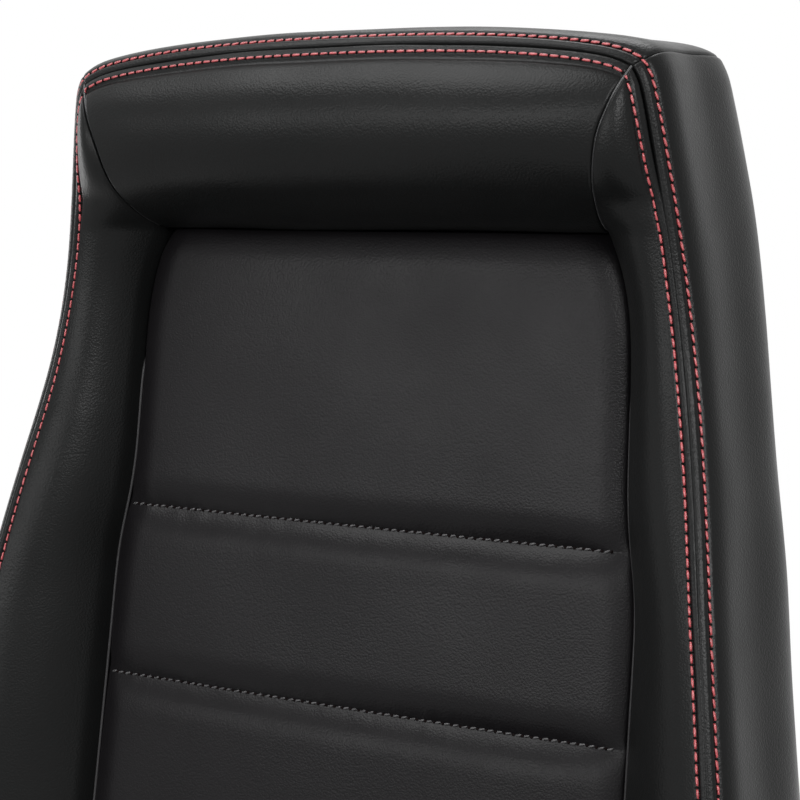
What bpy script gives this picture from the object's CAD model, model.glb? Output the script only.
"""Looks of a reclining high-back racing seat in black leatherette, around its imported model.

Metres, +Z up, the seat faces -Y. The upholstery repeats the model's profiles in fine meshes:

    x  half of the width, from the plane of symmetry
    v  the way along: down from the head's top corners, or back from the cushion's front
    w  the height towards the person sitting, from the seam at those corners
"""

import math

import bmesh
import bpy
import numpy as np
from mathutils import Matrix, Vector, noise
from mathutils.bvhtree import BVHTree


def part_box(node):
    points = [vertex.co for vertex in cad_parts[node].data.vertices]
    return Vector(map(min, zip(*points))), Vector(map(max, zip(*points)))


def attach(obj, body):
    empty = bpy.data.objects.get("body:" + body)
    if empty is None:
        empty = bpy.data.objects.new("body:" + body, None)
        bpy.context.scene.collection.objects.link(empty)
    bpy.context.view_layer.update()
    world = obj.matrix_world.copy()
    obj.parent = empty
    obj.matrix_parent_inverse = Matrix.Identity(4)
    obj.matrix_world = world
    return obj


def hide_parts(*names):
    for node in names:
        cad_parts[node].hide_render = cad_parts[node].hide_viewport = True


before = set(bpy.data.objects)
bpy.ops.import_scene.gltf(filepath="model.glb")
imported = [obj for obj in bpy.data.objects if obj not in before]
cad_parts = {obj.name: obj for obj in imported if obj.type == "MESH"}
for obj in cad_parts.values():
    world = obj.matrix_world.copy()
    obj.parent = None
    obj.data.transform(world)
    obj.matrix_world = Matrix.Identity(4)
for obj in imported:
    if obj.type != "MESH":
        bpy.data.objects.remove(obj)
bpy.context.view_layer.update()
draw = np.random.RandomState(7)

# -------- sizes


def tenths(*sizes):
    """Sizes, or pairs of place and value, written in tenths of a millimetre."""
    return np.array(sizes) / 1e4


GAP = 0.0003  # between pieces that touch
CORNER_Y, CORNER_Z = 0.220, 0.940  # of the head's top corner seams
CUSHION_FRONT_Y, CUSHION_FRONT_Z = -0.320, 0.226
HINGE_Y, HINGE_Z = 0.185, 0.200  # of the recliner's axis
WALL = 0.008  # of the boxing
BULGE, TAPER, RETURN = 0.009, 0.009, 0.012  # of the boxing: past its seam, in below, behind
FULL_SECTION = 7  # points of a boxing that returns onto the rear
END_ROUND = 0.014  # of the covers' lower and rear ends
REAR_TOP_V, REAR_CROWN = 0.009, 0.003  # of the rear cover
HEM_REACH = 1.03  # of the boxing's width, so that its ends are hidden
HEM_LAP, HEM_DEPTH, HEM_INSET = 0.0016, 0.0034, 0.0026
PIPING_RADIUS, PIPING_END_V = 0.0021, 0.672
CLIP_LINES, CLIP_INSET = (0.075, 0.235, 0.395, 0.555), 0.020
CLIP_PROFILE = tenths(  # radius and height
    (68, -4), (68, 6), (60, 13), (42, 19), (30, 21), (26, 12), (3, 12))
WASHER_PROFILE = tenths((92, -2), (92, 11), (86, 15), (3, 15))
BOLT_PROFILE = tenths(
    (66, 12), (68, 44), (60, 52), (30, 53), (28, 30), (3, 30))
SLEEVE_HALF, SLEEVE_RADIUS = 0.105, 0.0082  # on the slide's release bar
BAR_Y, BAR_Z = -0.314, 0.064

BACK_SEAM_X = tenths(
    (-35, 1600), (-10, 1617), (30, 1638), (100, 1658), (200, 1678), (360, 1705), (640, 1750),
    (1110, 1822), (1570, 1900), (2020, 1982), (2600, 2078), (3180, 2170), (3800, 2270),
    (4400, 2355), (5000, 2400), (5600, 2395), (6200, 2365), (6900, 2330))
BACK_SEAM_W = tenths(
    (0, 0), (300, -30), (640, -65), (900, -80), (1150, -75), (1570, -15), (2020, 115), (2600, 290),
    (3300, 475), (4500, 780), (5600, 990), (6400, 1080), (6900, 1060))
BACK_PANEL_X = tenths(
    (760, 1345), (900, 1405), (1100, 1460), (1430, 1492), (1830, 1505), (2110, 1518), (2320, 1545),
    (2520, 1578), (2900, 1598), (3300, 1604), (3800, 1612), (4500, 1612), (6000, 1570),
    (7520, 1500))
BACK_PANEL_W = tenths(
    (760, -396), (2340, -220), (3300, -63), (4200, 100), (5300, 350), (6500, 600), (7520, 720))
BACK_REAR_W = tenths(
    (-200, -1090), (400, -1130), (2260, -800), (4500, -400), (6900, -80))
BACK_ROLL_X = tenths(  # half of the head roll, between its mitre seams
    (-35, 1600), (6, 1580), (47, 1560), (120, 1527), (190, 1498), (260, 1470), (390, 1436),
    (520, 1410), (640, 1382), (760, 1345))
BACK_ROLL_W = tenths(
    (-35, 2), (0, 24), (80, 68), (160, 90), (260, 95), (360, 79), (450, 48), (540, -10),
    (640, -130), (720, -280), (760, -396))
BACK_EDGE = tenths(  # the top seam's height, out from the middle
    (0, 188), (400, 184), (720, 173), (1100, 146), (1370, 110), (1500, 80), (1565, 54), (1600, 35))
BACK_FLARE = tenths(  # of the side boxing's rear, past its bulge
    (-35, 0), (400, 30), (900, 45), (3500, 40), (5000, -40), (6900, -90))
TOP_RISE = tenths(188, 242, 260, 260, 240, 210, 150)  # in the middle
TOP_END_RISE = tenths(35, 73, 110, 120, 115, 95, 55)  # at the sides
CHANNEL_LINES = (0.234, 0.330, 0.426, 0.522, 0.618)
CUSHION_SEAM_X = tenths(
    (-15, 2000), (20, 2032), (100, 2072), (300, 2118), (900, 2230), (1600, 2290), (2300, 2290),
    (2900, 2200), (3400, 2050), (3850, 1900), (4550, 1860))
CUSHION_SEAM_W = tenths(
    (0, 0), (300, 40), (900, 280), (1500, 450), (2200, 500), (2800, 350), (3400, -20),
    (3850, -330), (4200, -450), (4550, -480))
CUSHION_PANEL_X = tenths(
    (760, 1480), (1600, 1560), (2500, 1560), (3500, 1490), (4550, 1430))
CUSHION_PANEL_W = tenths(
    (760, -60), (1600, -80), (2600, -200), (3600, -370), (4550, -480))
CUSHION_EDGE = tenths(
    (0, 86), (600, 82), (1100, 70), (1500, 56), (1800, 40), (1940, 26), (2000, 15))
FRONT_RISE = tenths(86, 130, 155, 155, 130)
FRONT_END_RISE = tenths(15, 35, 55, 60, 50)
CUSHION_ROLL_X = tenths(
    (-15, 2000), (30, 1955), (120, 1860), (260, 1740), (390, 1650), (520, 1580), (640, 1530),
    (760, 1480))
CUSHION_ROLL_W = tenths(
    (-15, 2), (10, 24), (80, 100), (160, 160), (260, 200), (360, 210), (450, 190), (540, 150),
    (640, 80), (720, 0), (760, -60))
CUSHION_CHANNELS = (0.170, 0.262, 0.354)
CUSHION_BOTTOM_W = -0.110
BACK_FOAM, PANEL_FOAM = 0.066, 0.027  # between the rear and the pads, and of the panel
PANEL_CROWN = 0.0040
CHANNEL_DEPTH, CHANNEL_HALF_WIDTH, CHANNEL_POWER = 0.0060, 0.021, 2.4
EDGE_SINK, EDGE_FADE = 0.0045, 0.018  # of the centre panel's sides and top
BOLSTER_PUFF, PUFF_POWER = 0.012, 0.85
BOLSTER_SINK, SINK_REACH = 0.0065, 0.07  # of its inner edge, over a share of its width
BOLSTER_LEAST_DEPTH = 0.014  # of its foam beside the centre panel
GRIP_CLEARANCE = 0.0024  # left by the side boxing's end for the lever's grip

ROW_INNER, ROW_OUTER = 0.0056, 0.0064  # of the topstitching, from its seam
STITCH_PITCH, CHANNEL_PITCH = 0.0055, 0.0050
STITCH_LENGTH, CHANNEL_STITCH, CHANNEL_HOLE = 0.0050, 0.0038, 0.0017
CHANNEL_SLANT = 20  # degrees, of the channels' stitches
SEAM_DEPTH, SEAM_ROLL, SEAM_VALLEY = 0.0022, 0.0013, 0.0007
VALLEY_REACH = 0.0085  # of the strip between a seam and its row
ALLOWANCE, ALLOWANCE_WIDTH, ALLOWANCE_LIFT = 0.0031, 0.0015, 0.0004
ROW_SINK, ROW_WIDTH = 0.0009, 0.0013  # of the dent that a row pulls in
PILLOW, PILLOW_REACH = 0.0009, 0.008  # of the stuffing beyond a row
MITRE_DEPTH, MITRE_ROLL = 0.0018, 0.0016
REAR_DEPTH, REAR_ROLL = 0.0018, 0.0025  # of the boxing's rear edge
CORNER_DEPTH, CORNER_ROLL = 0.0014, 0.0016  # of the boxings' joint at the corners
FINE_SIZE, FINE_HEIGHT, FINE_REACH = 0.016, 0.00018, 0.012  # of the pulls along a row
LINE_STEPS = np.array((0, .4, .9, 1.5, 2.2, 3.1, 4.2, 5.6, 7.4, 9.6)) * 1e-3
NEAR_SEAM = np.array((0, .2, .45, .75, 1.1, 1.5, 2, 2.7, 3.4, 4.1, 4.7, 5.2, 5.6, 6, 6.4, 6.9,
                      7.5, 8.5, 10, 12.5)) * 1e-3
NEAR_EDGE = np.array((0, .25, .5, .8, 1.2, 1.7, 2.4, 3.3, 4.5, 6, 8)) * 1e-3
SIDES = (("left", 1), ("right", -1))

# -------- materials


class Look:
    """A material, its nodes named by what they do."""

    def __init__(self, name, roughness=0.5, metallic=0.0, specular=0.5, sheen=0.0):
        self.material = bpy.data.materials.new(name)
        self.material.use_nodes = True
        self.tree = self.material.node_tree
        self.shader = self.tree.nodes["Principled BSDF"]
        for socket, value in (("Roughness", roughness), ("Metallic", metallic),
                              ("Specular IOR Level", specular), ("Sheen Weight", sheen)):
            self.shader.inputs[socket].default_value = value
        self.place = self.node("ShaderNodeTexCoord").outputs["Object"]
        self.bump = None

    def node(self, kind, sockets=None, **settings):
        made = self.tree.nodes.new(kind)
        for key, value in settings.items():
            setattr(made, key, value)
        for key, value in (sockets or {}).items():
            made.inputs[key].default_value = value
        return made

    def link(self, start, end):
        self.tree.links.new(start, end)

    def noise(self, scale, detail=2.0, stretch=(1, 1, 1)):
        mapping = self.node("ShaderNodeMapping", {"Scale": stretch})
        self.link(self.place, mapping.inputs["Vector"])
        made = self.node("ShaderNodeTexNoise", {"Scale": scale, "Detail": detail})
        self.link(mapping.outputs["Vector"], made.inputs["Vector"])
        return made.outputs["Fac"]

    def ramp(self, source, low, high, start=0.35, end=0.65):
        """Values or colours from low to high, as source goes from start to end."""
        made = self.node("ShaderNodeValToRGB")
        stops = made.color_ramp.elements
        stops[0].position, stops[1].position = start, end
        for stop, value in zip(stops, (low, high)):
            stop.color = (*value, 1.0) if isinstance(value, tuple) else (value,) * 3 + (1.0,)
        self.link(source, made.inputs["Fac"])
        return made.outputs["Color"]

    def patchy(self, socket, scale, detail, low, high, start=0.35, end=0.65):
        """A value or colour of the surface that differs a little from place to place."""
        self.link(self.ramp(self.noise(scale, detail), low, high, start, end),
                  self.shader.inputs[socket])

    def raised(self, source, distance, strength):
        """Relief on top of what the material has so far."""
        made = self.node("ShaderNodeBump", {"Strength": strength, "Distance": distance})
        self.link(source, made.inputs["Height"])
        if self.bump is not None:
            self.link(self.bump, made.inputs["Normal"])
        self.bump = made.outputs["Normal"]
        self.link(self.bump, self.shader.inputs["Normal"])

    def math(self, kind, first, second):
        made = self.node("ShaderNodeMath", operation=kind)
        for socket, value in zip(made.inputs, (first, second)):
            if isinstance(value, (int, float)):
                socket.default_value = value
            else:
                self.link(value, socket)
        return made.outputs[0]

    def cells(self, scale, bend=0.0):
        """Round cells, highest in their middles, like the pebbles of a leather grain."""
        made = self.node("ShaderNodeTexVoronoi", {"Scale": scale, "Smoothness": 0.25},
                         feature="SMOOTH_F1")
        place = self.place
        if bend:
            wave = self.node("ShaderNodeTexNoise", {"Scale": scale * 0.6})
            self.link(place, wave.inputs["Vector"])
            mixed = self.node("ShaderNodeMixRGB", {"Fac": bend}, blend_type="LINEAR_LIGHT")
            self.link(place, mixed.inputs["Color1"])
            self.link(wave.outputs["Color"], mixed.inputs["Color2"])
            place = mixed.outputs["Color"]
        self.link(place, made.inputs["Vector"])
        return self.math("SUBTRACT", 1.0, made.outputs["Distance"])


def leatherette(name, dark, light, grain=1.0):
    """Coated fabric: fine pebbles with pores between them, and a dull, slightly patchy gloss."""
    look = Look(name, 0.5, specular=0.12)
    look.patchy("Base Color", 9, 3, dark, light, 0.3, 0.7)
    look.patchy("Roughness", 26, 4, 0.30, 0.37, 0.3, 0.7)
    look.raised(look.cells(900, 0.0004), 0.00020 * grain, 0.5)
    look.raised(look.noise(2600, 2), 0.00005 * grain, 0.3)
    return look.material


def thread(name, dark, light, sheen, roughness=0.42, specular=0.5):
    """Twisted thread, its plies a little raised."""
    look = Look(name, roughness, specular=specular, sheen=sheen)
    look.shader.inputs["Sheen Roughness"].default_value = 0.4
    look.patchy("Base Color", 900, 2, dark, light, 0.3, 0.7)
    look.raised(look.noise(2600, 1, (1, 1, 0.35)), 0.0002, 0.8)
    return look.material


def hard(name, roughness, metallic, tones, gloss, relief, stretch=(1, 1, 1)):
    """Paint or metal, a little uneven in tone and gloss, with a fine relief."""
    look = Look(name, roughness, metallic)
    look.patchy("Base Color", *tones)
    look.patchy("Roughness", *gloss)
    scale, detail, distance = relief
    look.raised(look.noise(scale, detail, stretch), distance, 0.5)
    return look.material


def moulded_plastic(name, dark, light, rough_low, rough_high, grain):
    look = Look(name, 0.5, specular=0.42)
    look.patchy("Base Color", 18, 4, dark, light)
    look.patchy("Roughness", 40, 3, rough_low, rough_high)
    look.raised(look.cells(1100), grain, 0.45)
    return look.material


LEATHER = leatherette("black_leatherette_grain", (0.0044, 0.0046, 0.0046),
                      (0.0062, 0.0064, 0.0064))
PANEL_LEATHER = leatherette("black_leatherette_panel", (0.0050, 0.0046, 0.0051),
                            (0.0068, 0.0063, 0.0069), 0.9)
PANEL_PIPING = leatherette("black_leatherette_piping", (0.030, 0.029, 0.030),
                           (0.040, 0.039, 0.040), 0.5)
RED_THREAD = thread("red_thread", (0.26, 0.022, 0.028), (0.41, 0.052, 0.058), 0.2, 0.34, 0.75)
BLACK_THREAD = thread("black_thread", (0.006, 0.006, 0.007), (0.016, 0.016, 0.017), 0.1)
PANEL_THREAD = thread("panel_thread", (0.020, 0.019, 0.020), (0.045, 0.043, 0.045), 0.3)
HOLE = thread("needle_holes", (0.003, 0.002, 0.002), (0.008, 0.005, 0.005), 0.0, 0.9, 0.05)
SEAM_THREAD = thread("seam_thread", (0.001, 0.001, 0.001), (0.003, 0.003, 0.003), 0.0, 0.85, 0.06)
PAINT = hard("black_powder_coat", 0.42, 0.0,
             (35, 6, (0.014, 0.014, 0.015), (0.026, 0.026, 0.027)),
             (60, 4, 0.34, 0.50), (700, 2, 0.00012))
ZINC = hard("zinc_plate", 0.35, 1, (55, 5, (0.40, 0.40, 0.385), (0.60, 0.60, 0.57)),
            (90, 4, 0.26, 0.44), (500, 3, 0.00006), (1, 0.08, 1))
SPRING = hard("oiled_spring_steel", 0.38, 1.0,
              (120, 4, (0.10, 0.10, 0.11), (0.20, 0.20, 0.21)),
              (150, 3, 0.30, 0.48), (900, 2, 0.00005))
PLASTIC = moulded_plastic("black_grained_plastic", (0.018, 0.018, 0.019), (0.026, 0.026, 0.027),
                          0.42, 0.55, 0.00035)
REAR = moulded_plastic("rear_panel_grain", (0.0136, 0.0136, 0.0141), (0.0148, 0.0148, 0.0153),
                       0.50, 0.53, 0.0005)
NYLON = moulded_plastic("white_nylon", (0.60, 0.60, 0.56), (0.70, 0.70, 0.66), 0.38, 0.50, 0.0001)

NODE_LOOKS = (  # by the first of these words in a node's name
    ("upper_rail", ZINC), ("bush", ZINC), ("disc", ZINC), ("latch", ZINC), ("release_bar", ZINC),
    ("recline_lever", ZINC), ("shaft", ZINC), ("grip", PLASTIC), ("recliner_cover", PLASTIC),
    ("rear_cover", REAR), ("shoe", NYLON), ("spring", SPRING), ("wire", SPRING), ("", PAINT),
)

# -------- profiles and grids


def curve_through(points):
    """The natural cubic spline through (place, value) points, level past its ends."""
    place, value = np.array(points, float).T
    step = np.diff(place)
    slope = np.diff(value) / step
    count = len(place)
    rows, right = np.eye(count), np.zeros(count)
    for i in range(1, count - 1):
        rows[i, i - 1:i + 2] = step[i - 1], 2 * (step[i - 1] + step[i]), step[i]
        right[i] = 6 * (slope[i] - slope[i - 1])
    bend = np.linalg.solve(rows, right)

    def at(t):
        t = np.clip(t, place[0], place[-1])
        i = np.clip(np.searchsorted(place, t, side="right") - 1, 0, count - 2)
        a, b, h = place[i + 1] - t, t - place[i], step[i]
        cubic = (bend[i] * a ** 3 + bend[i + 1] * b ** 3) / (6 * h)
        return (cubic + (value[i] / h - bend[i] * h / 6) * a
                + (value[i + 1] / h - bend[i + 1] * h / 6) * b)

    return at


def run_along(path):
    """The distance from a path's start at each of its points."""
    return np.concatenate([[0], np.cumsum(np.linalg.norm(np.diff(path, axis=0), axis=1))])


def at_runs(places, run, path):
    """A path's rows at these distances from its start."""
    return np.stack([np.interp(places, run, column) for column in path.T], 1)


def rounding(v, end):
    """How far a surface has dropped where it rounds off towards its end."""
    t = np.clip((v - (end - END_ROUND)) / END_ROUND, 0, 1)
    return END_ROUND * (1 - np.sqrt(1 - t * t))


class Upholstery:
    """The profiles of the backrest or the cushion, and the places that they give."""

    def __init__(self, seam_x, seam_w, panel_x, panel_w, roll_x, roll_w, edge, flare, rises,
                 rear_w, foam, channels, roll_puff, end_v, panel_end_v, place, front, body, prefix):
        (self.seam_x, self.base_seam_w, self.panel_x, self.base_panel_w, self.roll_x, self.roll_w,
         self.edge, self.flare) = map(curve_through, (seam_x, seam_w, panel_x, panel_w, roll_x,
                                                      roll_w, edge, flare))
        self.edge_end_x, self.start_v = edge[-1][0], -edge[-1][1]
        self.rises, self.end_rises = rises
        self.is_return = self.kept(np.arange(len(self.rises)) == FULL_SECTION - 1)
        self.inside_limit = np.where(self.is_return, -1, WALL - self.kept(self.end_rises))
        self.rear_w, self.foam, self.channels, self.roll_puff = rear_w, foam, channels, roll_puff
        self.roll_end = panel_x[0][0]
        self.end_v, self.panel_end_v, self.place_of = end_v, panel_end_v, place
        self.front, self.body, self.prefix = front, body, prefix

    def place(self, x, v, w):
        """Points in the scene's frame."""
        x, v, w = np.broadcast_arrays(x, v, w)
        return np.stack(self.place_of(x, v, w), axis=-1)

    def turned(self, x, v, w):
        """The same for a direction."""
        return self.place(x, v, w) - self.place(0.0, 0.0, 0.0)

    def back_w(self, v):
        """The rear of the foam."""
        return self.rear_w(v) + self.foam

    def seam_w(self, v):
        return self.base_seam_w(v) - rounding(v, self.end_v)

    def panel_w(self, v):
        return self.base_panel_w(v) - rounding(v, self.panel_end_v)

    def edge_v(self, x):
        """The perimeter seam across the end."""
        return -self.edge(np.minimum(np.abs(x), self.edge_end_x))

    def outline(self, v):
        """A side boxing's section: x, w, and how much higher than the seam its top edge is."""
        drop, returns = float(rounding(v, self.end_v)), len(self.rises) == FULL_SECTION
        seam_x, seam_w = float(self.seam_x(v)), float(self.seam_w(v))
        rear = float(self.rear_w(max(v, 0.0))) + (0.5 * drop if returns else 0)
        bulge, depth = BULGE - 0.6 * drop, seam_w - rear
        out = seam_x + bulge
        far = out + float(self.flare(v))
        points = [(seam_x, seam_w), (seam_x + bulge * 0.62, seam_w - 0.006),
                  (out, seam_w - depth * 0.22), ((out + far) / 2, seam_w - depth * 0.5)]
        if returns:
            points += [(far, rear + 0.010), (far - 0.005, rear + 0.002), (far - RETURN, rear)]
        else:
            points += [(far, rear)]
        fade = max(0.0, 1 - (v - self.start_v) / 0.055) ** 2
        lift = (self.end_rises - self.end_rises[0]) * fade
        return np.column_stack([np.array(points), lift])

    def kept(self, points):
        """Those of a section's points that its inner side follows, from its rear to its seam."""
        full = len(points) == FULL_SECTION
        return np.asarray(points)[[-1, -3, 3, 2, 0] if full else [-1, 3, 2, 0]]

    def inside(self, outline):
        """The inner points of a boxing's section."""
        shift = np.zeros_like(outline)
        shift[:, 0] = -WALL
        shift[0, 1] = -WALL
        if len(outline) == FULL_SECTION:
            shift[-1, :2] = 0, WALL
            shift[-3, :2] = -WALL - 0.002, WALL - 0.006
        return self.kept(outline + shift)

    def rise(self, u):
        """How far the end boxing's section stands above the corner, part of the way out."""
        seam = float(self.edge(u * self.edge_end_x))
        share = (self.rises[0] - seam) / (self.rises[0] - self.end_rises[0])
        dome = 0.68 * u ** 2.5 + 0.32 * u ** 24
        shares = np.full(len(self.rises), dome)
        shares[:2] = share, (share + dome) / 2
        return self.rises - (self.rises - self.end_rises) * shares

    def channel(self, v):
        """The depth of the sewn channels, as a share."""
        nearest = np.min([np.abs(v - line) for line in self.channels], axis=0)
        return np.clip(1 - nearest / CHANNEL_HALF_WIDTH, 0, 1) ** CHANNEL_POWER

    def inner_edge(self, v):
        """A bolster's inner edge: along the mitre seam, then along the panel."""
        on_roll = v < self.roll_end
        x = np.where(on_roll, self.roll_x(v), self.panel_x(np.maximum(v, self.roll_end)))
        w = np.where(on_roll, self.roll_w(v), self.base_panel_w(v) - rounding(v, self.end_v))
        return x, w


back_rear_w = curve_through(BACK_REAR_W)
back = Upholstery(
    BACK_SEAM_X, BACK_SEAM_W, BACK_PANEL_X, BACK_PANEL_W, BACK_ROLL_X, BACK_ROLL_W, BACK_EDGE,
    BACK_FLARE, (TOP_RISE, TOP_END_RISE), back_rear_w, BACK_FOAM, CHANNEL_LINES, 0.006, 0.678,
    0.768, lambda x, v, w: (x, CORNER_Y - w, CORNER_Z - v), (0, -1, 0), "backrest", "back")
cushion = Upholstery(
    CUSHION_SEAM_X, CUSHION_SEAM_W, CUSHION_PANEL_X, CUSHION_PANEL_W, CUSHION_ROLL_X,
    CUSHION_ROLL_W, CUSHION_EDGE, ((0.0, -TAPER), (1.0, -TAPER)), (FRONT_RISE, FRONT_END_RISE),
    lambda v: CUSHION_BOTTOM_W + 0 * v, 0, CUSHION_CHANNELS, 0.004, 0.455, 0.455,
    lambda x, v, w: (x, CUSHION_FRONT_Y + v, CUSHION_FRONT_Z + w), (0, 0, 1), "carriage",
    "cushion")


def graded(length, start, end, middle):
    """Distances across rows of these lengths: close together by both ends."""
    length = np.atleast_1d(length)
    squeeze = np.minimum(1, 0.8 * length / (start[-1] + end[-1]))[:, None]
    near, far = start * squeeze, length[:, None] - end[::-1] * squeeze
    share = np.linspace(0, 1, middle + 2)[1:-1]
    between = near[:, -1:] + (far[:, :1] - near[:, -1:]) * share
    return np.concatenate([near, between, far], axis=1)


def stations(start, end, step, near_start=(), near_end=(), lines=()):
    """Places along a piece, closer together by its ends and by its sewn lines."""
    places = list(np.arange(start, end, step)) + [start, end]
    places += [start + d for d in near_start] + [end - d for d in near_end]
    for line in lines:
        places += list(line - LINE_STEPS) + list(line + LINE_STEPS)
    places = np.unique(np.round([p for p in places if start <= p <= end], 6))
    keep = [places[0]]
    for p in places[1:]:
        if p - keep[-1] > 1.5e-4:
            keep.append(p)
    return np.array(keep)


def outward(grid, way):
    """The unit normals of a grid of points, on the side that way points to."""
    n = np.cross(np.gradient(grid, axis=0), np.gradient(grid, axis=1))
    n /= np.linalg.norm(n, axis=-1, keepdims=True) + 1e-12
    return n * np.sign((n @ np.array(way, float)).mean())


def swell(grid, size, height, seed):
    """Soft unevenness of stuffed leather, as a height for each point of a grid."""
    flat = grid.reshape(-1, 3) / size + seed * np.array((7.13, 3.31, 5.77))
    return height * np.array([noise.noise(p) for p in flat.tolist()]).reshape(grid.shape[:-1])


def by_seam(d, row=None, depth=SEAM_DEPTH, roll=SEAM_ROLL):
    """The skin's height beside a seam: it rolls in at the edge, lies over the folded allowance,
    and sinks where a row of topstitching holds it."""
    turn = np.clip(1 - d / roll, 0, 1)
    height = -depth * (1 - np.sqrt(1 - turn ** 2))
    if row:
        height -= SEAM_VALLEY * np.clip(1 - d / VALLEY_REACH, 0, 1) ** 2
        height += ALLOWANCE_LIFT * np.exp(-((d - ALLOWANCE) / ALLOWANCE_WIDTH) ** 2)
        height -= ROW_SINK * np.exp(-((d - row) / ROW_WIDTH) ** 2)
        height += PILLOW * (1 - np.exp(-(np.clip(d - row, 0, None) / PILLOW_REACH) ** 2)) - 0.0002
    return height


def pulls(grid, d):
    """The fine unevenness that a row's stitches pull in, at distances d from its seam."""
    return swell(grid, FINE_SIZE, FINE_HEIGHT, 5) * np.exp(-d / FINE_REACH)


def with_swell(height, soft):
    """The seams' height, no deeper than one seam, with the stuffing's unevenness."""
    return np.maximum(height, -SEAM_DEPTH - SEAM_VALLEY) + soft


# -------- meshes and pieces


def new_mesh(name, points, faces, degrees=45):
    mesh = bpy.data.meshes.new(name)
    mesh.from_pydata(np.asarray(points, float).reshape(-1, 3).tolist(), [], faces)
    bm = bmesh.new()
    bm.from_mesh(mesh)
    bmesh.ops.recalc_face_normals(bm, faces=bm.faces)
    if bm.calc_volume(signed=True) < 0:
        bmesh.ops.reverse_faces(bm, faces=bm.faces)
    bm.to_mesh(mesh)
    bm.free()
    mesh.shade_smooth()
    mesh.set_sharp_from_angle(angle=math.radians(degrees))
    return mesh


def ring_faces(rows, count, first=0, caps=True):
    """Quads round a tube of rings, and one face over each end."""
    index = first + np.arange(rows * count).reshape(rows, count)
    near, far = index[:-1], index[1:]
    quads = np.stack([near, np.roll(near, -1, 1), np.roll(far, -1, 1), far], axis=-1)
    faces = quads.reshape(-1, 4).tolist()
    if caps:
        faces += [index[0].tolist(), index[-1].tolist()]
    return faces


def added(name, data):
    """A new object in the scene."""
    obj = bpy.data.objects.new(name, data)
    bpy.context.scene.collection.objects.link(obj)
    return obj


def piece(name, mesh, look, body, nodes=()):
    """One visible piece that rides on a body, and stands for CAD nodes if it replaces them."""
    obj = added(name, mesh)
    mesh.materials.append(look)
    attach(obj, body)
    if nodes:
        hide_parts(*nodes)
    return obj


def skin(name, grid, height, way, inner, shape, node, look=LEATHER):
    """A closed stuffed piece: a grid raised by its height, each row carried round by its inner
    points."""
    rings = np.concatenate([grid + outward(grid, way) * height[..., None], inner], axis=1)
    mesh = new_mesh(name, rings, ring_faces(*rings.shape[:2]))
    made = piece(name, mesh, look, shape.body, [node])


# -------- upholstery


def bolster(shape, side, sign):
    """A side bolster: a puffed face from the mitre seam and the panel out to the side seam."""
    v = stations(shape.start_v + 0.0006, shape.end_v, 0.003, NEAR_EDGE, NEAR_EDGE)
    inner_x, inner_w = shape.inner_edge(v)
    inner_x = inner_x + GAP
    seam_x, seam_w = shape.seam_x(v) - GAP, shape.seam_w(v)
    length = np.hypot(seam_x - inner_x, seam_w - inner_w)
    d = graded(length, NEAR_EDGE, NEAR_SEAM, 20)
    u = d / length[:, None]
    puff = BOLSTER_PUFF * np.minimum(1, np.abs(seam_w - inner_w) / 0.040 + 0.15)
    puff = puff * np.minimum(1, length / 0.030)
    x = inner_x[:, None] + (seam_x - inner_x)[:, None] * u
    w = inner_w[:, None] + (seam_w - inner_w)[:, None] * u
    w = w + puff[:, None] * np.sin(np.pi * np.clip(u, 0, 1) ** PUFF_POWER)
    below = np.clip((v - shape.roll_end + 0.012) / 0.012, 0, 1)[:, None]
    w = w - BOLSTER_SINK * below * np.clip(1 - u / SINK_REACH, 0, 1) ** 1.5
    grid = shape.place(sign * x, v[:, None], w)
    from_seam = length[:, None] - d
    depth = np.where(v < shape.roll_end, MITRE_DEPTH, GAP)[:, None]
    height = by_seam(from_seam, ROW_INNER) + by_seam(d, None, depth, MITRE_ROLL)
    soft = swell(grid, 0.060, 0.0009, 1 + sign) * (1 - below * np.exp(-d / 0.012))
    height = with_swell(height, soft) + pulls(grid, from_seam)
    rear = shape.back_w(v)
    inset = WALL + GAP
    wall_x = np.maximum(seam_x - inset, inner_x + 0.3 * (seam_x - inner_x))
    inner = np.stack([
        shape.place(sign * wall_x, v, np.maximum(seam_w - inset - GAP, rear)),
        shape.place(sign * wall_x, v, rear),
        shape.place(sign * inner_x, v, np.minimum(rear, inner_w - BOLSTER_LEAST_DEPTH))], axis=1)
    node = f"{shape.prefix}_bolster_{side}"
    skin(f"{node}_cover", grid, height, shape.front, inner, shape, node)


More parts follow.
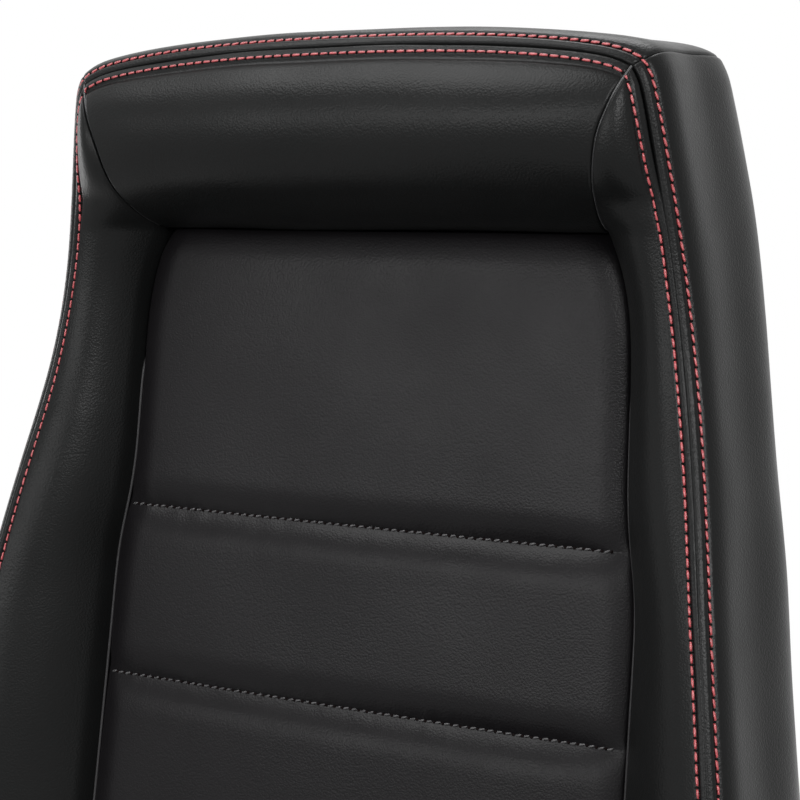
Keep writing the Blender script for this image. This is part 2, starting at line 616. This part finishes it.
def roll(shape, name, node):
    """The padded roll across the end, between its two mitre seams."""
    half, start = shape.edge_end_x, shape.start_v
    d = graded(half, NEAR_EDGE * 0, NEAR_EDGE, 60)[0, len(NEAR_EDGE) - 1:]
    u = np.concatenate([-d[:0:-1], d]) / half
    v = start + graded(shape.roll_end - GAP - start, NEAR_SEAM, NEAR_EDGE, 22)[0]
    across, along = u[:, None], v[None, :]
    fade = ((shape.roll_end - along) / (shape.roll_end - start)) ** 2
    x = across * shape.roll_x(along) - GAP * np.sign(across)
    lift = (shape.edge_v(across * half) - start) * fade
    swell_out = np.clip(np.sin(np.pi * (along - start) / 0.062), 0, None)
    puff = shape.roll_puff * (1 - across ** 4) * swell_out
    grid = shape.place(x, along + lift, shape.roll_w(along) + puff)
    beside = (1 - np.abs(across)) * shape.roll_x(along)
    height = by_seam(along - start + 0 * across, ROW_INNER)
    height += by_seam(beside, None, MITRE_DEPTH, MITRE_ROLL)
    height += by_seam(shape.roll_end - along + 0 * across, None, 0.0010, 0.003)
    height = with_swell(height, swell(grid, 0.055, 0.0010, 3)) + pulls(grid, along - start)
    inset = WALL + GAP
    rear = shape.back_w(shape.roll_end / 2)
    points = []
    for way, depth in ((shape.roll_end - GAP, None), (0.030, None), (inset, None), (inset, -inset)):
        x = u * np.minimum(shape.roll_x(max(way, inset)), shape.seam_x(way) - inset - GAP)
        top = (shape.edge_v(u * half) - start) * (1 - way / shape.roll_end) ** 2
        place_v = np.maximum(way + top, shape.edge_v(u * half) + inset)
        points.append(shape.place(x, place_v, rear if depth is None else depth))
    skin(name, grid, height, shape.front, np.stack(points, axis=1), shape, node)


def panel(shape, name, node, thickness):
    """The recessed centre panel, with sewn channels and drawn-in sides."""
    v = stations(shape.roll_end + GAP, shape.panel_end_v, 0.003, NEAR_EDGE, NEAR_EDGE,
                 shape.channels)
    pinch = sum(0.0008 * np.exp(-((v - line + 0.004) / 0.006) ** 2) for line in shape.channels)
    half = shape.panel_x(v) - GAP - pinch
    d = graded(half, NEAR_EDGE * 0, NEAR_EDGE, 70)[:, len(NEAR_EDGE) - 1:]
    d = np.concatenate([-d[:, :0:-1], d], axis=1)
    u = d / half[:, None]
    dip = CHANNEL_DEPTH * shape.channel(v)[:, None]
    w = shape.panel_w(v)[:, None] + PANEL_CROWN * (1 - u ** 4) - dip * (1 - u ** 12)
    w = w - EDGE_SINK * np.clip(1 - (half[:, None] - np.abs(d)) / EDGE_FADE, 0, 1) ** 2
    w = w - EDGE_SINK * np.clip(1 - (v - shape.roll_end) / EDGE_FADE, 0, 1)[:, None] ** 2
    grid = shape.place(d, v[:, None], w)
    height = by_seam(half[:, None] - np.abs(d), None, 0.0020, 0.0026)
    height += by_seam(v - shape.roll_end + 0 * d.T, None, 0.0012, 0.004).T
    nearest = np.min([np.abs(v - line) for line in shape.channels], axis=0)[:, None]
    tight = np.exp(-nearest / 0.009)
    height += swell(grid, 0.080, 0.0010, 9) * (1 - tight)
    pucker = swell(grid * np.array((1, 0.25, 0.25)), 0.0085, 0.00055, 4)
    height += pucker * tight * (1 - np.exp(-nearest / 0.002))
    rear = shape.panel_w(v) - thickness if thickness else shape.back_w(v)
    inner = np.stack([shape.place(half * u0, v, rear) for u0 in (1, 0.5, 0, -0.5, -1)], axis=1)
    skin(name, grid, height, shape.front, inner, shape, node, PANEL_LEATHER)


def section_at(points, middle):
    """A smooth section through its points, at graded distances from its seam."""
    points = np.array(points, float)
    chord = run_along(points)
    dense = np.linspace(0, chord[-1], 160)
    line = np.stack([curve_through(np.stack([chord, column], 1))(dense) for column in points.T], 1)
    run = run_along(line)
    d = graded(run[-1], NEAR_SEAM, NEAR_EDGE, middle)[0]
    return at_runs(d, run, line), d, run[-1]


def sections_at(outlines, middle):
    """Sections in rows, the distance of each point from the seam, and the sections' lengths."""
    made = zip(*(section_at(points, middle) for points in outlines))
    rows, d, length = (np.array(part) for part in made)
    return rows, d, length[:, None]


def by_boxing_edges(d, length, from_end):
    """A boxing's height beside its seam, its rear edge and its joint with the next boxing."""
    return (by_seam(d, ROW_OUTER) + by_seam(length - d, None, REAR_DEPTH, REAR_ROLL)
            + by_seam(from_end, None, CORNER_DEPTH, CORNER_ROLL))


def past_row(d):
    """How free the boxing's stuffing is, from its stitch row on."""
    return np.clip((d - 0.008) / 0.02, 0, 1)


def side_boxing(shape, side, sign):
    """The deep outer side, out from its seam and round onto the rear."""
    v = stations(shape.start_v + 0.0003, shape.end_v, 0.003, NEAR_EDGE, NEAR_EDGE)
    outlines = [shape.outline(way) for way in v]
    rows, d, length = sections_at(outlines, 30)
    inners = np.array([shape.inside(outline) for outline in outlines])
    inners[..., 2] = np.maximum(v[:, None] - inners[..., 2], shape.inside_limit)
    grid = shape.place(sign * rows[..., 0], v[:, None] - rows[..., 2], rows[..., 1])
    height = by_boxing_edges(d, length, v[:, None] - shape.start_v + 0 * d)
    height = with_swell(height, swell(grid, 0.070, 0.0014, 11 + sign) * past_row(d))
    height -= GRIP_CLEARANCE * np.clip((v - 0.56) / 0.05, 0, 1)[:, None]
    inner = shape.place(sign * inners[..., 0], inners[..., 2], inners[..., 1])
    node = f"{shape.prefix}_side_boxing_{side}"
    skin(f"{node}_cover", grid, height, (sign, 0, 0), inner, shape, node)


def end_boxing(shape, node):
    """The boxing across the end, domed, mitred to both side boxings."""
    outline = shape.outline(shape.start_v)
    reach = outline[2, 0]
    half = graded(reach, NEAR_EDGE * 0, NEAR_EDGE, 64)[0, len(NEAR_EDGE) - 1:] / reach
    across = np.concatenate([-half[:0:-1], half])
    rises = [shape.rise(abs(u)) for u in across]
    rows, d, length = sections_at([np.column_stack([u * outline[:, 0], outline[:, 1], -rise])
                                   for u, rise in zip(across, rises)], 26)
    inside, wall = shape.inside(outline), np.where(shape.is_return, 0, WALL)
    inners = np.array([np.column_stack([u * inside[:, 0], inside[:, 1], -shape.kept(rise) + wall])
                       for u, rise in zip(across, rises)])
    grid = shape.place(rows[..., 0], rows[..., 2], rows[..., 1])
    from_end = (reach * (1 - np.abs(across)))[:, None] + 0 * d
    height = by_boxing_edges(d, length, from_end)
    height = with_swell(height, swell(grid, 0.060, 0.0011, 17) * past_row(d))
    inner = shape.place(inners[..., 0], inners[..., 2], inners[..., 1])
    skin(f"{node}_cover", grid, height, shape.turned(0.0, -1.0, 0.0), inner, shape, node)


for side, sign in SIDES:
    for shape in (back, cushion):
        bolster(shape, side, sign)
        side_boxing(shape, side, sign)
roll(back, "head_roll_cover", "head_roll_pad")
panel(back, "back_center_cover", "back_center_pad", PANEL_FOAM)
end_boxing(back, "back_top_boxing")
roll(cushion, "cushion_roll_cover", "cushion_front_roll")
panel(cushion, "cushion_center_cover", "cushion_center_pad", None)
end_boxing(cushion, "cushion_front_boxing")

# -------- sewing


def tree_of(names):
    """The surface of these covers, for the stitches."""
    points, faces = [], []
    for name in names:
        mesh = bpy.data.objects[f"{name}_cover"].data
        first = len(points)
        points += [tuple(vertex.co) for vertex in mesh.vertices]
        faces += [[first + i for i in face.vertices] for face in mesh.polygons]
    return BVHTree.FromPolygons(points, faces)


def stitch_shape(length, radius, ply):
    """One stitch along X, its ends going down into their needle holes."""
    rings, around = 9, 8
    t = np.linspace(-1, 1, rings)
    angle = np.linspace(0, 2 * np.pi, around, endpoint=False)
    fat = radius * np.sqrt(np.clip(1 - np.abs(t) ** 6, 0.08, 1))
    plies = 1 + ply * np.cos(2 * (angle[None, :] + 2.4 * t[:, None]))
    across = np.cos(angle)[None, :] * fat[:, None] * plies
    up = np.sin(angle)[None, :] * fat[:, None] * plies * 0.85
    up = up + (radius * 0.5 - radius * np.abs(t) ** 5)[:, None]
    along = np.repeat((t * length / 2)[:, None], around, 1)
    return np.stack([along, across, up], -1).reshape(-1, 3), ring_faces(rings, around)


def resample(path, ways, pitch, start=0.5):
    """Places a pitch apart along a path, with the path's direction and the way up there."""
    run = run_along(path)
    count = int(run[-1] / pitch - start)
    at = (start + np.arange(count)) * pitch
    at = at + draw.uniform(-0.03, 0.03, count) * pitch * (start == 0.5)
    way = at_runs(at + pitch * 0.3, run, path) - at_runs(at - pitch * 0.3, run, path)
    way /= np.linalg.norm(way, axis=1, keepdims=True)
    return at_runs(at, run, path), way, at_runs(at, run, ways)


def cast(tree, points, ways):
    """Where the covers lie under some points, with their normals there."""
    places, normals = [], []
    for point, way in zip(points, ways):
        start, down = Vector(point + way * 0.012), Vector(-way)
        place, normal, _, _ = tree.ray_cast(start, down, 0.030)
        if place is None:
            place, normal, _, _ = tree.find_nearest(Vector(point))
        places.append(place), normals.append(normal)
    return np.array(places), np.array(normals)


def sewn(name, tree, paths, look, shape, length, radius, slant=0.0, lift=0.0, pitch=STITCH_PITCH,
         start=0.5, ply=0.14):
    """A mesh of all stitches along the paths, on the covers."""
    local, faces = stitch_shape(length, radius, ply)
    points, all_faces = [], []
    for path, ways in paths:
        middle, way, up = resample(path, ways, pitch, start)
        place, normal = cast(tree, middle, up)
        side = np.cross(normal, way)
        side /= np.linalg.norm(side, axis=1, keepdims=True)
        way = np.cross(side, normal)
        angle = np.radians(slant + draw.uniform(-2.0, 2.0, len(way)))[:, None]
        cos, sin = np.cos(angle), np.sin(angle)
        way, side = way * cos + side * sin, side * cos - way * sin
        place = place + normal * lift
        size = 1 + draw.uniform(-0.05, 0.05, (len(way), 1, 1))
        made = place[:, None] + size * (local[None, :, :1] * way[:, None]
                                        + local[None, :, 1:2] * side[:, None]
                                        + local[None, :, 2:] * normal[:, None])
        for one in made:
            first = len(points) * len(local)
            points.append(one)
            all_faces += [[first + i for i in face] for face in faces]
    piece(name, new_mesh(name, np.concatenate(points), all_faces, 80), look, shape.body)


def tube(name, path, radius, look, body, around=8):
    """A round cord along a path."""
    path = np.asarray(path, float)
    way = np.gradient(path, axis=0)
    way /= np.linalg.norm(way, axis=1, keepdims=True) + 1e-12
    side = np.cross(way[0], (0.31, 0.59, 0.74))
    rings = []
    angle = np.linspace(0, 2 * np.pi, around, endpoint=False)
    for point, t in zip(path, way):
        side = side - t * (side @ t)
        side /= np.linalg.norm(side)
        other = np.cross(t, side)
        rings.append(point + radius * (np.cos(angle)[:, None] * side
                                       + np.sin(angle)[:, None] * other))
    piece(name, new_mesh(name, rings, ring_faces(len(path), around), 60), look, body)


def mirrored(half):
    """A path from the plane of symmetry outwards, carried over to the other side."""
    half = np.asarray(half)
    return np.concatenate([(half * np.array((-1, 1, 1)))[:0:-1], half])


def perimeter(shape, offset, lean, up=90):
    """The line at a distance from the perimeter seam: out over the boxing, or in if negative."""
    x = np.linspace(0, shape.edge_end_x, 160)
    v = np.arange(shape.start_v, shape.end_v - 0.003, 0.0015)[1:]
    half = np.concatenate([np.stack([x, shape.edge_v(x), 0 * x], 1),
                           np.stack([shape.seam_x(v), v, shape.seam_w(v)], 1)])
    line = mirrored(half)
    run = run_along(line)
    line = at_runs(np.linspace(0, run[-1], int(run[-1] / 0.001)), run, line)
    soft = np.exp(-(np.arange(-9, 10) / 3.5) ** 2)
    for k in range(3):
        ends = np.concatenate([2 * line[0, k] - line[9:0:-1, k], line[:, k],
                               2 * line[-1, k] - line[-2:-11:-1, k]])
        line[:, k] = np.convolve(ends, soft / soft.sum(), "valid")
    way = np.gradient(line, axis=0)
    way = way[:, :2] / np.linalg.norm(way[:, :2], axis=1, keepdims=True)
    side = np.stack([way[:, 1], -way[:, 0]], 1)
    lean, up = math.radians(lean), math.radians(up)
    line[:, :2] += offset * math.cos(lean) * side
    line[:, 2] -= abs(offset) * math.sin(lean)
    ways = np.column_stack([side * math.copysign(math.cos(up), offset), 0 * side[:, 0]])
    ways[:, 2] = math.sin(up)
    return shape.place(*line.T), shape.turned(*ways.T)


def sew(shape, roll_name, end_name):
    """All the thread of the backrest or the cushion."""
    name = shape.prefix
    faces = tree_of([roll_name] + [f"{name}_bolster_{side}" for side, _ in SIDES])
    boxings = tree_of([end_name] + [f"{name}_side_boxing_{side}" for side, _ in SIDES])
    panel_cover = tree_of([f"{name}_center"])
    inner, outer = perimeter(shape, -ROW_INNER, -28), perimeter(shape, ROW_OUTER, 47, 43)
    holes = dict(length=0.0011, radius=0.00095, look=HOLE, lift=-0.0004, start=1.0, ply=0)
    sewn(f"{name}_inner_row", faces, [inner], RED_THREAD, shape, STITCH_LENGTH, 0.00062, 2)
    sewn(f"{name}_inner_holes", faces, [inner], shape=shape, **holes)
    sewn(f"{name}_outer_row", boxings, [outer], RED_THREAD, shape, STITCH_LENGTH, 0.00066, 9)
    sewn(f"{name}_outer_holes", boxings, [outer], shape=shape, **holes)
    tube(f"{name}_seam_thread", perimeter(shape, 0.0030, 84)[0], 0.0009, SEAM_THREAD, shape.body)
    for side, sign in SIDES:
        v = np.linspace(shape.start_v + 0.001, shape.roll_end - 0.002, 60)
        line = shape.place(sign * shape.roll_x(v), v, shape.roll_w(v) - 0.0012)
        tube(f"{name}_mitre_thread_{side}", line, 0.0007, BLACK_THREAD, shape.body)
        v = np.linspace(shape.roll_end + 0.074, shape.panel_end_v - 0.006, 160)
        deep = EDGE_SINK * 0.80 + 0.003 * np.exp(-(v - v[0]) / 0.006)
        line = shape.place(sign * (shape.panel_x(v) - 0.0007), v, shape.panel_w(v) - deep)
        tube(f"{name}_panel_piping_{side}", line, 0.00075, PANEL_PIPING, shape.body)
    lines = []
    for way in shape.channels:
        half = float(shape.panel_x(way)) - 0.004
        x = np.linspace(-half, half, 80)
        u = x / half
        w = float(shape.panel_w(way)) + PANEL_CROWN * (1 - u ** 4) - CHANNEL_DEPTH * (1 - u ** 12)
        line = shape.place(x, way, w)
        lines.append((line, 0 * line + np.array(shape.front)))
    sewn(f"{name}_channel_stitches", panel_cover, lines, PANEL_THREAD, shape, CHANNEL_STITCH,
         0.00058, CHANNEL_SLANT, 0.0001, CHANNEL_PITCH)
    sewn(f"{name}_channel_holes", panel_cover, lines, HOLE, shape, CHANNEL_HOLE, 0.00075,
         CHANNEL_SLANT, -0.0001, CHANNEL_PITCH, 1.0, 0)


sew(back, "head_roll", "back_top_boxing")
sew(cushion, "cushion_roll", "cushion_front_boxing")

# -------- trim and fasteners


def lathe(name, profile, place, axis, look, body, around=32):
    """A turned piece: radius and height pairs along an axis, from its foot to its middle."""
    axis = Vector(axis).normalized()
    side = axis.orthogonal().normalized()
    other = axis.cross(side)
    angle = np.linspace(0, 2 * np.pi, around, endpoint=False)
    ring = np.cos(angle)[:, None] * np.array(side) + np.sin(angle)[:, None] * np.array(other)
    rings = np.array([np.array(place) + r * ring + h * np.array(axis) for r, h in profile])
    piece(name, new_mesh(name, rings, ring_faces(len(profile), around), 30), look, body)


def rear_edge(v):
    """Half of the rear cover's width."""
    return back.seam_x(v) + BULGE + back.flare(v) - RETURN - GAP


def rear_top(x):
    """The rear cover's top edge: its place down the backrest and its outer face."""
    half = rear_edge(REAR_TOP_V)
    return (REAR_TOP_V + np.minimum(0, back.edge_v(x) - back.edge_v(half)),
            back_rear_w(REAR_TOP_V) - REAR_CROWN * (1 - np.minimum(1, np.abs(x) / half) ** 2))


def rear_hem():
    """The padded hem that fills the joint between the top boxing's return and the rear cover."""
    outline = back.outline(back.start_v)
    turn = np.linspace(0, 2 * np.pi, 20, endpoint=False)
    rings = []
    for u in np.linspace(-HEM_REACH, HEM_REACH, 121):
        x, boxing_v = u * outline[-1, 0], -back.rise(min(1.0, abs(u)))[-1]
        cover_v, cover_w = rear_top(np.array(x))
        ends = np.sqrt(1.001 - (abs(u) / HEM_REACH) ** 60)
        high = ends * (abs(cover_v - boxing_v) / 2 + HEM_LAP)
        deep = ends * HEM_DEPTH
        rings.append(back.place(x + 0 * turn, (cover_v + boxing_v) / 2 + high * np.cos(turn),
                                cover_w + HEM_INSET + deep * np.sin(turn)))
    mesh = new_mesh("rear_top_hem", rings, ring_faces(len(rings), len(turn)), 30)
    piece("rear_top_hem", mesh, LEATHER, "backrest")


def rear_trim():
    """Piping in the joint round the rear cover, and the clips that hold the cover."""
    side_v = np.arange(REAR_TOP_V + 0.006, PIPING_END_V, 0.006)
    x = np.linspace(0, rear_edge(REAR_TOP_V) - 0.004, 40)
    top, top_w = rear_top(x)
    path = mirrored(np.concatenate([
        np.stack([x, top, top_w], 1),
        np.stack([rear_edge(side_v), side_v, back_rear_w(side_v)], 1)]))
    tube("rear_cover_piping", back.place(*path.T), PIPING_RADIUS, LEATHER, "backrest", 10)
    for v in CLIP_LINES:
        edge = float(rear_edge(v))
        u = 1 - CLIP_INSET / edge
        w = float(back_rear_w(v)) - REAR_CROWN * (1 - u * u)
        for side, sign in SIDES:
            lathe(f"rear_clip_{side}_{round(v * 1000)}", CLIP_PROFILE,
                  back.place(sign * u * edge, v, w), (0, 1, 0), PLASTIC, "backrest")


def lever_bolts():
    """The bolt and washer that hold each lever on the shaft."""
    for side, sign in SIDES:
        low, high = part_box(f"recline_lever_{side}")
        foot, axis = (high[0] if sign > 0 else low[0], HINGE_Y, HINGE_Z), (sign, 0, 0)
        lathe(f"lever_washer_{side}", WASHER_PROFILE, foot, axis, ZINC, "recline_release")
        lathe(f"lever_bolt_{side}", BOLT_PROFILE, foot, axis, SPRING, "recline_release", 6)


def bar_sleeve():
    """The plastic grip round the middle of the slide's release bar."""
    x = np.linspace(-SLEEVE_HALF, SLEEVE_HALF, 40)
    path = np.stack([x, 0 * x + BAR_Y, 0 * x + BAR_Z], 1)
    tube("slide_bar_sleeve", path, SLEEVE_RADIUS, PLASTIC, "slide_release", 24)


rear_hem()
rear_trim()
lever_bolts()
bar_sleeve()

# -------- materials of the CAD pieces

WELD_REACH, MOULDED_EDGE, METAL_EDGE, EDGE_ANGLE = 2e-5, 0.0012, 0.0006, 38

for name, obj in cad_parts.items():
    look = next(look for part, look in NODE_LOOKS if part in name)
    if not obj.material_slots:
        obj.data.materials.append(None)
    for material_slot in obj.material_slots:
        material_slot.link = "OBJECT"
        material_slot.material = look
    if look in (PAINT, ZINC, PLASTIC, REAR):
        weld = obj.modifiers.new("weld", "WELD")
        weld.merge_threshold = WELD_REACH
        bevel = obj.modifiers.new("edge", "BEVEL")
        bevel.width = MOULDED_EDGE if look in (PLASTIC, REAR) else METAL_EDGE
        bevel.segments = 3
        bevel.limit_method = "ANGLE"
        bevel.angle_limit = math.radians(EDGE_ANGLE)
        bevel.harden_normals = True

# -------- floor, light and camera


def area_light(name, place, target, width, height, watts):
    data = bpy.data.lights.new(name, "AREA")
    data.shape = "RECTANGLE"
    data.size, data.size_y = width, height
    data.energy = watts
    light = added(name, data)
    light.location = place
    way = Vector(target) - Vector(place)
    light.rotation_euler = way.to_track_quat("-Z", "Y").to_euler()


area_light("overhead", (-0.50, -0.45, 2.10), (0.0, 0.15, 0.8), 1.0, 0.9, 19)
area_light("rear_top", (-0.20, 0.95, 2.25), (0.0, 0.2, 0.85), 1.0, 0.8, 13)
area_light("front", (-0.35, -1.55, 1.05), (0.0, 0.2, 0.75), 1.7, 0.45, 15)
area_light("key_right", (1.15, -0.90, 1.40), (0.15, 0.2, 0.7), 0.7, 0.6, 20)
area_light("left_strip", (-1.60, 0.45, 0.75), (-0.1, 0.2, 0.7), 0.3, 1.2, 5)


def lit_by_camera(tree):
    """1 for what the camera sees, directly or in gloss and glass, and 0 for other light."""
    path = tree.nodes.new("ShaderNodeLightPath")
    total = path.outputs["Is Camera Ray"]
    for name in ("Is Glossy Ray", "Is Transmission Ray"):
        add = tree.nodes.new("ShaderNodeMath")
        add.operation = "MAXIMUM"
        tree.links.new(total, add.inputs[0])
        tree.links.new(path.outputs[name], add.inputs[1])
        total = add.outputs[0]
    return total


world = bpy.data.worlds.new("studio")
bpy.context.scene.world = world
world.use_nodes = True
tree = world.node_tree
sky = tree.nodes["Background"]
sky.inputs["Color"].default_value = (1, 1, 1, 1)
strength = tree.nodes.new("ShaderNodeMath")
strength.operation = "MULTIPLY_ADD"
strength.inputs[1].default_value = 0.95
strength.inputs[2].default_value = 0.05
tree.links.new(lit_by_camera(tree), strength.inputs[0])
tree.links.new(strength.outputs[0], sky.inputs["Strength"])


def make_floor():
    """A pale floor that keeps the seat's shadow, and turns white further out."""
    bm = bmesh.new()
    bmesh.ops.create_circle(bm, cap_ends=True, segments=96, radius=7.0)
    mesh = bpy.data.meshes.new("floor")
    bm.to_mesh(mesh)
    bm.free()
    floor = added("floor", mesh)
    look = Look("pale_floor", 0.7, specular=0.2)
    look.patchy("Base Color", 3, 3, (0.86, 0.86, 0.86), (0.90, 0.90, 0.90))
    tree = look.tree
    length = look.node("ShaderNodeVectorMath", operation="LENGTH")
    look.link(look.place, length.inputs[0])
    fade = look.ramp(look.math("MULTIPLY", length.outputs["Value"], 0.25), 0.0, 1.0, 0.16, 0.50)
    white = look.node("ShaderNodeEmission", {"Color": (1, 1, 1, 1)})
    mixed = look.node("ShaderNodeMixShader")
    look.link(look.math("MULTIPLY", fade, lit_by_camera(tree)), mixed.inputs[0])
    look.link(look.shader.outputs[0], mixed.inputs[1])
    look.link(white.outputs[0], mixed.inputs[2])
    look.link(mixed.outputs[0], tree.nodes["Material Output"].inputs["Surface"])
    mesh.materials.append(look.material)
    floor.location.z = -0.0005


make_floor()

camera_data = bpy.data.cameras.new("camera")
camera_data.lens = 78.75
camera_data.sensor_width = 36
camera = added("camera", camera_data)
camera.location = (0.4531, -0.5616, 0.8852)
camera.rotation_euler = (math.radians(90 - 6.84), 0, math.radians(28))
bpy.context.scene.camera = camera
bpy.context.scene.view_settings.view_transform = "Standard"
